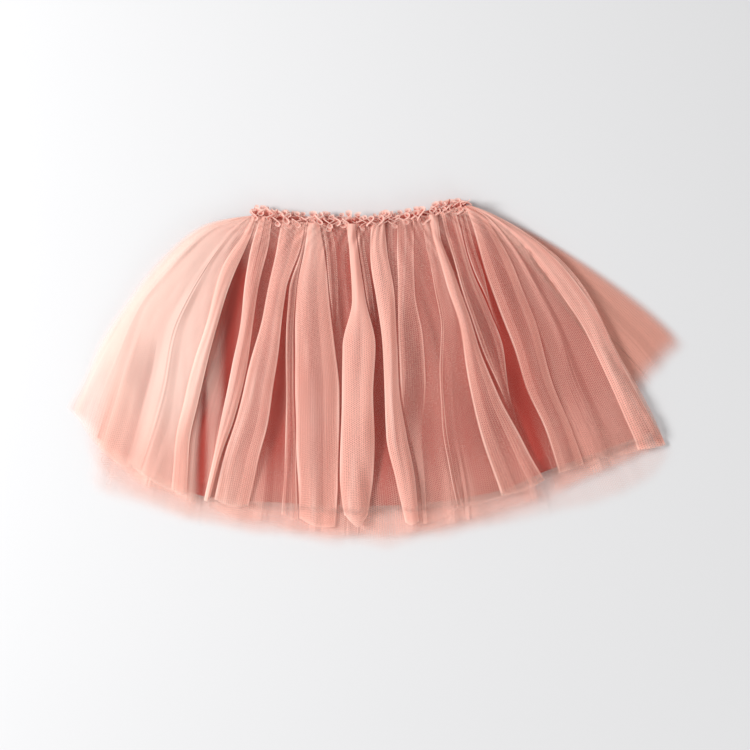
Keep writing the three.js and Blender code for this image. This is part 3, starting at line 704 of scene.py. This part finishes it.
HEM_ROWS = 12  # in the turned hem
BODY_END, HEM_ROWS_START = 0.945, 0.95
TURNED = (0.955, 0.004)
SEAM_PLACE, SEAM_WIDTH = 0.957, 0.005
LINING_LENGTH = 260
WAVES_AT_WAIST, WAVES_DRIFT, SLOW_WAVES = 0.4, 0.02, 0.5
FINE_WAVES, FINE_DOWN = 0.5, 0.15  # small gathers below the waist


def lining(name, columns, rows, seed, depth, folds):
    """A plain gathered panel of the lining."""
    rng = np.random.default_rng(seed)
    layout = Layout(PANELS[name])
    body, hem = np.linspace(0, BODY_END, rows - HEM_ROWS), np.linspace(HEM_ROWS_START, 1, HEM_ROWS)
    down = np.concatenate([body, hem])[:, None] * np.ones((1, columns))
    share = np.linspace(0, 1, columns)[None, :] * np.ones((rows, 1))
    x = layout.x(share, down)
    y = layout.y(x, down)
    main, slow, fine = ripple(rng, 4, folds * 0.6, folds * 1.4), ripple(rng, 3, 1, 3), ripple(rng, 4, 20, 45)
    waves = 1 + main(share + WAVES_DRIFT * np.sin(4 * down)) + SLOW_WAVES * slow(share + down)
    height = depth * (WAVES_AT_WAIST + (1 - WAVES_AT_WAIST) * ease(down)) * waves
    height = height + FINE_WAVES * np.exp(-down / FINE_DOWN) * (1 + fine(share))
    points = pile.lay(x, y, sample(level_of(name), x, y), pile.over(x, y), height)
    lengths = arc_lengths(points)
    uv = np.stack([np.broadcast_to(lengths[-1], x.shape), down * LINING_LENGTH], axis=-1)
    fields = {
        "turned": grown(down, TURNED),
        "seam": np.exp(-((down - SEAM_PLACE) / SEAM_WIDTH) ** 2),
    }
    return grid_object(name + "_cloth", points, uv, fields), points


# The waist: a gathered casing, and the raw edges of the layers above it in tight curls

CASING_STEPS = 700
CASING_SECTION = 14
CASING_INSET = 1.9  # of its ends from the waist's
CASING_HEIGHT, CASING_REST = 4.9, 2.1  # of the ring's middle, and of its halves above and below that
CASING_ENDS, CASING_BEND = 0.75, 7  # how blunt its ends are, and how soon its halves part there
CASING_GATHERS, FINE_GATHERS, FINE_SHARE = 88, 211, 0.4
CASING_TALL, CASING_THICK, CASING_MARGIN = 0.6, 0.8, 0.2
CASING_HALF_THICK = 1.15
CASING_EDGES = (-0.47, 1.49)  # in half turns: they nearly meet where they are sewn
TALL_SWING, THICK_SWING, SWING_LOSS = 0.07, 0.38, 0.4
CASING_COVER = 0.55
PLAIN = {"full": 1, "haze": 0, "end": 1, "layered_and_shaded": 0}  # what the net of the waist carries


def signed_power(values, power):
    return np.sign(values) * np.abs(values) ** power


def casing():
    """A ring of cloth gathered on elastic: the front half lies on the back half, with turns at both ends."""
    rng = np.random.default_rng(41)
    beat = ripple(rng, 4, 4, 14)
    share = np.linspace(0, 1, CASING_STEPS, endpoint=False)
    loop = math.tau * share
    reach = (WAIST_RIGHT - WAIST_LEFT) / 2 - CASING_INSET
    centre_x = (WAIST_RIGHT + WAIST_LEFT) / 2
    # A long flat oval seen from the front: front half above, back half below
    x = centre_x + reach * signed_power(np.cos(loop), CASING_ENDS)
    half = np.sign(np.sin(loop)) * np.minimum(1, np.abs(np.sin(loop)) * CASING_BEND)
    z = CASING_HEIGHT + CASING_REST * half
    across = (x - WAIST_LEFT) / (WAIST_RIGHT - WAIST_LEFT)
    gather = np.sin(math.tau * CASING_GATHERS * share + 2.5 * beat(share))
    gather = gather + FINE_SHARE * np.sin(math.tau * FINE_GATHERS * share)
    around = np.linspace(*CASING_EDGES, CASING_SECTION) * math.pi
    middle = waist_y(across) + BAND_HEIGHT / 2
    tall = (BAND_HEIGHT / 2 - CASING_MARGIN) * signed_power(np.sin(around), CASING_TALL)
    thick = CASING_HALF_THICK * signed_power(np.cos(around), CASING_THICK)
    y = middle[:, None] + tall[None, :] * (1 + TALL_SWING * gather[:, None])
    swing = THICK_SWING * gather[:, None] * (1 - SWING_LOSS * np.abs(np.sin(around))[None, :])
    z = z[:, None] + thick[None, :] * (1 + swing)
    points = np.stack([np.broadcast_to(x[:, None], y.shape), y, z], axis=-1)
    points = np.concatenate([points, points[:1]])
    uv = np.stack(np.meshgrid(around * 3, np.linspace(0, 800, len(points))), axis=-1)
    return points, uv, {**PLAIN, "net": CASING_COVER, "steep": steepness(points), "rim": 0}


CURL_RISE = np.array([0, 0.3, 0.6, 0.86, 0.97, 1.0])  # of a ribbon's rows, as shares of its height
CURL_ROLL = np.array([0, 0, 0, 0.2, 0.8, 1.5])  # how far the raw edge rolls out, in millimetres
CURL_MIDDLE = 3  # the row that gives a ribbon its direction and length
CURL_STEPS = 26  # in each wave
CURL_COVER, CURL_STEEP = 0.52, 0.3
LEAST_CURL, MOST_CURL = 0.25, 1.5
CURL_RIM = (0.8, 0.16)


def curls(waves, offset, swing, rise, base, lean, seed, inset):
    """One raw edge above the casing: a ribbon that runs to and fro in uneven loops, its free edge upmost."""
    rng = np.random.default_rng(seed)
    left_end, right_end = WAIST_LEFT + inset, WAIST_RIGHT - inset
    share = np.linspace(0, 1, waves * CURL_STEPS)
    phase = math.tau * waves * share + 1.9 * ripple(rng, 5, waves * 0.1, waves * 0.45)(share)
    size = 0.8 + 0.34 * ripple(rng, 5, waves * 0.15, waves * 0.6)(share)
    size = np.clip(size, LEAST_CURL, MOST_CURL)
    second = ripple(rng, 5, waves * 0.3, waves * 0.8)(share)
    tilt = ripple(rng, 4, waves * 0.15, waves * 0.4)(share)
    drift = 1.3 * ripple(rng, 5, waves * 0.2, waves * 0.7)(share)
    up = CURL_RISE[:, None]
    step = (right_end - left_end) / waves
    out = swing * size * (0.25 + 0.75 * up)
    across_swing = step * (0.17 + 0.12 * size) * np.sin(2 * phase + 0.7 * drift)
    x = left_end + (right_end - left_end) * share + across_swing * (0.3 + 0.7 * up)
    x = x + 0.16 * step * second * up
    across = np.clip((x - WAIST_LEFT) / (WAIST_RIGHT - WAIST_LEFT), 0, 1)
    y = waist_y(across) + BAND_HEIGHT * 0.5 + offset + out * np.sin(phase)
    y = y + (lean + 1.3 * tilt) * up ** 1.5
    z = base + rise * size * up + 0.5 * up * np.cos(2 * phase)
    points = np.stack([x, y, z], axis=-1)
    ahead = np.gradient(points[CURL_MIDDLE], axis=0)
    side = np.stack([-ahead[:, 1], ahead[:, 0], 0 * ahead[:, 0]], axis=-1)
    side /= np.maximum(np.linalg.norm(side, axis=-1, keepdims=True), 1e-6)
    points = points + side[None] * CURL_ROLL[:, None, None] * np.sign(np.sin(3 * share + seed))[None, :, None]
    length = np.broadcast_to(arc_lengths(points)[CURL_MIDDLE], x.shape)
    uv = np.stack([length, np.broadcast_to(up * rise, x.shape)], axis=-1)
    # The top edge of each ribbon is painted pale: denser net, partly a painted highlight
    return points, uv, {**PLAIN, "net": CURL_COVER, "steep": CURL_STEEP, "rim": grown(up, CURL_RIM)}


# Materials

class Nodes:
    """A few short ways to wire shader nodes."""

    def __init__(self, name):
        self.material = bpy.data.materials.new(name)
        self.material.use_nodes = True
        self.tree = self.material.node_tree
        self.tree.nodes.clear()
        self.output = self.tree.nodes.new("ShaderNodeOutputMaterial")

    def add(self, kind, inputs=None, **settings):
        node = self.tree.nodes.new("ShaderNode" + kind)
        for key, value in settings.items():
            setattr(node, key, value)
        for key, value in (inputs or {}).items():
            self.join(value, node.inputs[key])
        return node

    def join(self, value, socket):
        if isinstance(value, bpy.types.NodeSocket):
            self.tree.links.new(value, socket)
        else:
            socket.default_value = value

    def math(self, operation, *values, clamp=False):
        node = self.add("Math", operation=operation, use_clamp=clamp)
        for value, socket in zip(values, node.inputs):
            self.join(value, socket)
        return node.outputs[0]

    def times(self, first, second):
        return self.math("MULTIPLY", first, second)

    def plus(self, first, second):
        return self.math("ADD", first, second)

    def ranged(self, value, before, after, **settings):
        """A value moved from one range, given by its ends, to another."""
        inputs = {0: value, 1: before[0], 2: before[1], 3: after[0], 4: after[1]}
        return self.add("MapRange", inputs, **settings).outputs[0]

    def field(self, name):
        return self.add("Attribute", attribute_name=name).outputs["Fac"]

    def blend(self, share, first, second):
        node = self.add("Mix", data_type="RGBA")
        self.join(share, node.inputs["Factor"])
        self.join(first, node.inputs[6])
        self.join(second, node.inputs[7])
        return node.outputs[2]

    def finish(self, surface):
        """Makes a node the material's surface."""
        self.join(surface.outputs[0], self.output.inputs["Surface"])
        return self.material


def linear(red, green, blue):
    """A colour picked as 0 to 255 on a screen, as the light it stands for."""
    part = lambda c: c / 12.92 if c <= 0.04045 else ((c + 0.055) / 1.055) ** 2.4
    return tuple(part(c / 255) for c in (red, green, blue)) + (1.0,)


NET_PITCH = 1.6  # of the net's cells, in millimetres
# Deep, middle and pale tones of the net, in loose layers and in the curls at the waist
# The pale tone is also painted light on the left side, and in part a painted highlight along pale edges
NET_COLOURS = (linear(248, 190, 174), linear(252, 204, 189), linear(255, 227, 214))
NET_LAYERED_AND_SHADED = linear(222, 158, 140)  # where several layers lie close together on the wing, with painted shade there and towards the right
CURL_COLOURS = (linear(226, 140, 126), linear(241, 168, 153), linear(255, 226, 213))
CELL_WAVES, CELL_COVER = (0.5, -0.9), (0.7, 1.32)  # from a cell's open middle to its threads
STREAK_STRETCH = (70.0, 6.0, 1.0)  # long soft lines down the cloth, as in gathered net
NOISE_RANGE = (0.3, 0.7)
STREAK_COVER, SPECK_COVER = (0.92, 1.08), (0.84, 1.16)
PATCH_SCALE, SPECK_SCALE = 14.0, 620.0
BEND_POWER = 1.5
HAZE_MISTS = 0.9  # how much of the cells and specks is lost in loose layers
HAZE_COVER, RIM_COVER = 1.9, 0.4
LEAST_COVER, MOST_COVER = 0.02, 0.94
# How far the net is painted towards its pale tone: where it is steep, at pale edges, and on the left as
# painted light
BEND_PALES, RIM_PALES, HAZE_PAINTED_LIGHT = 0.4, 0.7, 0.72
LIT_THROUGH = 0.35  # how much of the light on a thread comes from behind it

LINING_COLOUR = linear(140, 46, 39)
LINING_LIGHT = linear(168, 62, 53)
LINING_DEEP = linear(126, 38, 33)
WEAVE_PITCH, STITCH_LENGTH = 0.7, 3.2  # in millimetres
WEAVE_TONE, TURNED_TONE, LEAST_STITCH, WEAVE_RELIEF = 0.06, 0.25, 0.2, 0.3
SPOT_TONE = 0.985


def net_material(name, strength=1.0, bend=0.6, colours=NET_COLOURS):
    """Soft net: six-sided cells, denser where it is gathered, bent or folded double."""
    n = Nodes(name)
    uv = n.add("UVMap", uv_map="Cloth").outputs[0]
    parts = n.add("SeparateXYZ", {0: uv})
    turn = math.tau / (NET_PITCH * MM)
    x = n.times(parts.outputs["X"], turn)
    y = n.times(parts.outputs["Y"], turn * math.sqrt(3) / 2)
    half = n.times(x, 0.5)
    waves = n.plus(n.math("COSINE", x), n.math("COSINE", n.plus(half, y)))
    waves = n.plus(waves, n.math("COSINE", n.math("SUBTRACT", half, y)))
    cells = n.ranged(waves, CELL_WAVES, CELL_COVER, interpolation_type="SMOOTHSTEP")
    stretched = n.add("Mapping", {0: uv, 3: STREAK_STRETCH}).outputs[0]
    streaks = n.add("TexNoise", {"Vector": stretched, "Scale": 1.0, "Detail": 2.0, "Roughness": 0.5})
    patches = n.add("TexNoise", {"Vector": uv, "Scale": PATCH_SCALE, "Detail": 2.0})
    specks = n.add("TexNoise", {"Vector": uv, "Scale": SPECK_SCALE, "Detail": 1.0})
    grain = n.ranged(specks.outputs["Fac"], NOISE_RANGE, SPECK_COVER)

    # How much it hides
    bent = n.math("POWER", n.field("steep"), BEND_POWER)
    amount = n.times(n.field("net"), n.field("full"))
    amount = n.times(amount, n.ranged(streaks.outputs["Fac"], NOISE_RANGE, STREAK_COVER))
    clear_to_see = n.math("SUBTRACT", 1.0, n.times(n.field("haze"), HAZE_MISTS))
    speckle = n.times(n.math("SUBTRACT", grain, 1.0), clear_to_see)
    amount = n.times(amount, n.plus(speckle, 1.0))
    amount = n.times(amount, n.plus(1.0, n.times(bent, bend)))
    amount = n.times(amount, strength)
    amount = n.times(amount, n.plus(1.0, n.times(n.field("haze"), HAZE_COVER)))
    amount = n.plus(amount, n.times(n.field("rim"), RIM_COVER))
    mesh = n.times(n.math("SUBTRACT", cells, 1.0), clear_to_see)
    cover = n.times(amount, n.plus(mesh, 1.0))
    cover = n.math("MINIMUM", n.math("MAXIMUM", cover, LEAST_COVER), MOST_COVER)
    cover = n.times(cover, n.field("end"))

    # Its tone
    tone = n.blend(patches.outputs["Fac"], colours[0], colours[1])
    # Pale edges: the rim is denser net and partly a painted highlight, so it also pales the colour
    pale = n.plus(n.times(bent, BEND_PALES), n.times(n.field("rim"), RIM_PALES))
    # Painted light: the net on the left is painted paler
    pale = n.math("ADD", pale, n.times(n.field("haze"), HAZE_PAINTED_LIGHT), clamp=True)
    # Painted shade: the net is darkened on the wing and towards the right
    tone = n.blend(n.field("layered_and_shaded"), tone, NET_LAYERED_AND_SHADED)
    colour = n.blend(pale, tone, colours[2])
    bump = n.add("Bump", {"Strength": 0.25, "Distance": 0.0002, "Height": specks.outputs["Fac"]})
    front = n.add("BsdfPrincipled", {
        "Base Color": colour, "Roughness": 0.8, "Specular IOR Level": 0.2,
        "Sheen Weight": 0.15, "Sheen Roughness": 0.5, "Normal": bump.outputs[0],
    })
    through = n.add("BsdfTranslucent", {"Color": colour, "Normal": bump.outputs[0]})
    cloth = n.add("MixShader", {0: LIT_THROUGH, 1: front.outputs[0], 2: through.outputs[0]})
    clear = n.add("BsdfTransparent")
    return n.finish(n.add("MixShader", {0: cover, 1: clear.outputs[0], 2: cloth.outputs[0]}))


def lining_material():
    """Opaque plain weave, matt, a little uneven in tone."""
    n = Nodes("lining_weave")
    uv = n.add("UVMap", uv_map="Cloth").outputs[0]
    parts = n.add("SeparateXYZ", {0: uv})
    turn = math.tau / (WEAVE_PITCH * MM)
    weft = n.math("SINE", n.times(parts.outputs["X"], turn))
    warp = n.math("SINE", n.times(parts.outputs["Y"], turn))
    weave = n.times(weft, warp)
    patches = n.add("TexNoise", {"Vector": uv, "Scale": 22.0, "Detail": 3.0})
    shade = n.math("ADD", patches.outputs["Fac"], n.times(weave, WEAVE_TONE), clamp=True)
    colour = n.blend(shade, LINING_COLOUR, LINING_LIGHT)
    stitches = n.math("SINE", n.times(parts.outputs["X"], math.tau / (STITCH_LENGTH * MM)))
    mark = n.times(n.field("seam"), n.math("MAXIMUM", stitches, LEAST_STITCH))
    colour = n.blend(n.times(n.field("turned"), TURNED_TONE), colour, LINING_DEEP)
    colour = n.blend(mark, colour, LINING_LIGHT)
    height = n.plus(n.times(weave, WEAVE_RELIEF), patches.outputs["Fac"])
    bump = n.add("Bump", {"Strength": 0.4, "Distance": 0.0004, "Height": height})
    return n.finish(n.add("BsdfPrincipled", {
        "Base Color": colour, "Roughness": 0.9, "Specular IOR Level": 0.15, "Normal": bump.outputs[0],
    }))


def plain_material(name, colour, roughness):
    n = Nodes(name)
    spots = n.add("TexNoise", {"Scale": 6.0, "Detail": 2.0})
    tone = n.blend(spots.outputs["Fac"], colour, tuple(SPOT_TONE * c for c in colour[:3]) + (1.0,))
    return n.finish(n.add("BsdfPrincipled", {
        "Base Color": tone, "Roughness": roughness, "Specular IOR Level": 0.1,
    }))


# Floor, light and camera, in metres

FLOOR_SIZE = 12.0
FLOOR_TOP = -0.0005
FLOOR_CORNERS = [(-0.5, -0.5), (0.5, -0.5), (0.5, 0.5), (-0.5, 0.5)]  # as shares of its size
floor_corners = [(x * FLOOR_SIZE, y * FLOOR_SIZE, FLOOR_TOP) for x, y in FLOOR_CORNERS]
floor_mesh = bpy.data.meshes.new("floor")
floor_mesh.from_pydata(floor_corners, [], [(0, 1, 2, 3)])
floor = placed("floor", floor_mesh)
floor.data.materials.append(plain_material("floor_paper", linear(213, 213, 214), 0.9))


def area_light(name, place, target, size, power):
    lamp = bpy.data.lights.new(name, "AREA")
    lamp.shape = "DISK"
    lamp.size = size
    lamp.energy = power
    light = placed(name, lamp)
    light.location = place
    light.rotation_mode = "QUATERNION"
    light.rotation_quaternion = (Vector(target) - Vector(place)).to_track_quat("-Z", "Y")


area_light("key", place=(-1.8, 0.25, 1.45), target=(0, 0, 0), size=0.8, power=57)
area_light("fill", place=(0.9, -0.9, 0.8), target=(0.2, -0.2, 0), size=0.8, power=3)

WORLD_STRENGTH = 0.58
world = bpy.data.worlds.new("studio")
world.use_nodes = True
world.node_tree.nodes["Background"].inputs["Color"].default_value = (1, 1, 1, 1)
world.node_tree.nodes["Background"].inputs["Strength"].default_value = WORLD_STRENGTH
scene.world = world

SHOWN_WIDTH = 0.675  # of the floor across the picture
CAMERA_HEIGHT = 1.3125
SENSOR_WIDTH = 36
camera_data = bpy.data.cameras.new("camera")
camera_data.sensor_width = SENSOR_WIDTH
camera_data.lens = SENSOR_WIDTH * CAMERA_HEIGHT / SHOWN_WIDTH
scene.camera = placed("camera", camera_data)
scene.camera.location = (-0.0045, 0.0009, CAMERA_HEIGHT)
scene.view_settings.view_transform = "Standard"
scene.cycles.max_bounces = 10
scene.cycles.diffuse_bounces = 6
scene.cycles.transparent_max_bounces = 48
scene.cycles.use_denoising = True


# Pieces, from the table up


def dress(piece, node, material):
    piece.data.materials.append(material)
    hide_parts(node)


def declare(piece, node, material):
    """Gives a piece its material and hides its solid."""
    dress(piece, node, material)


def panel(make, node, slot, material, rests_on, *drawn, **look):
    """Makes one panel, gives it its material and hides its solid."""
    piece, points = make(node, *drawn, **look)
    declare(piece, node, material)
    return piece


outer_net = net_material("outer_net", strength=1.05)
inner_net = net_material("inner_net", strength=0.9, bend=0.3)
back_net = net_material("back_net", bend=0.2)
weave = lining_material()

back_outer = panel(
    pleated, "tulle_back_outer", "tulle_outer", back_net, "floor",
    drawn_folds("tulle_back_outer", 14, seed=11, lift=2.4, net=0.2, gap=0.18, soft=1),
    rows=90, seed=21, gathers=30, gather_height=0.3, rough=0.8, valley_net=0.18,
    frayed=0.045, spread_wing=4.6, even=1, airy=0.7)
back_inner = panel(
    pleated, "tulle_back_inner", "tulle_inner", inner_net, back_outer,
    drawn_folds("tulle_back_inner", 13, seed=12, lift=2.4, net=0.18, gap=0.16, soft=1),
    rows=80, seed=22, gathers=30, gather_height=0.3, rough=0.8, valley_net=0.16,
    frayed=0.04, even=1, airy=0.7)
lining_back = panel(
    lining, "lining_back", "lining", weave, back_inner,
    columns=240, rows=60, seed=31, depth=0.7, folds=8)
lining_front = panel(
    lining, "lining_front", "lining", weave, lining_back,
    columns=300, rows=80, seed=32, depth=1.0, folds=11)
front_inner = panel(
    pleated, "tulle_front_inner", "tulle_inner", inner_net, lining_front,
    drawn_folds("tulle_front_inner", 15, seed=13, lift=4, net=0.22, gap=0.18, rim=0.3, soft=0.5),
    rows=90, seed=23, gathers=30, gather_height=0.5, rough=0.8, valley_net=0.18,
    frayed=0.03, even=1, parted=True, denser_hem=1.6)
panel(
    pleated, "tulle_front_outer", "tulle_outer", outer_net, front_inner, placed_folds(),
    rows=126, seed=24, gathers=34, gather_height=1.3, rough=1.0, valley_net=0.32,
    crisp=True, parted=True)

points, uv, fields = casing()
band = grid_object("waist_casing", points, uv, fields)
casing_net = net_material("casing_net", strength=1.6, colours=CURL_COLOURS)

frill_net = net_material("frill_net", strength=1.3, colours=CURL_COLOURS)
CURLS = [  # piece, node, waves, offset, swing, rise, base, lean, seed, inset
    ("front_curls_0", "frill_front", 21, -1.2, 3.4, 6.0, 8.6, -2.4, 51, 1),
    ("front_curls_1", "frill_front", 24, -0.2, 4.0, 7.5, 9.0, 0.0, 52, 1),
    ("front_curls_2", "frill_front", 19, 0.8, 3.4, 6.5, 8.4, 2.6, 53, 1),
    ("back_curls", "frill_back", 22, 3.4, 1.6, 4.2, 3.2, 1.6, 54, 2),
]
for name, node, *run in CURLS:
    curl = grid_object(name, *curls(*run))
    dress(curl, node, frill_net)
declare(band, "waistband", casing_net)
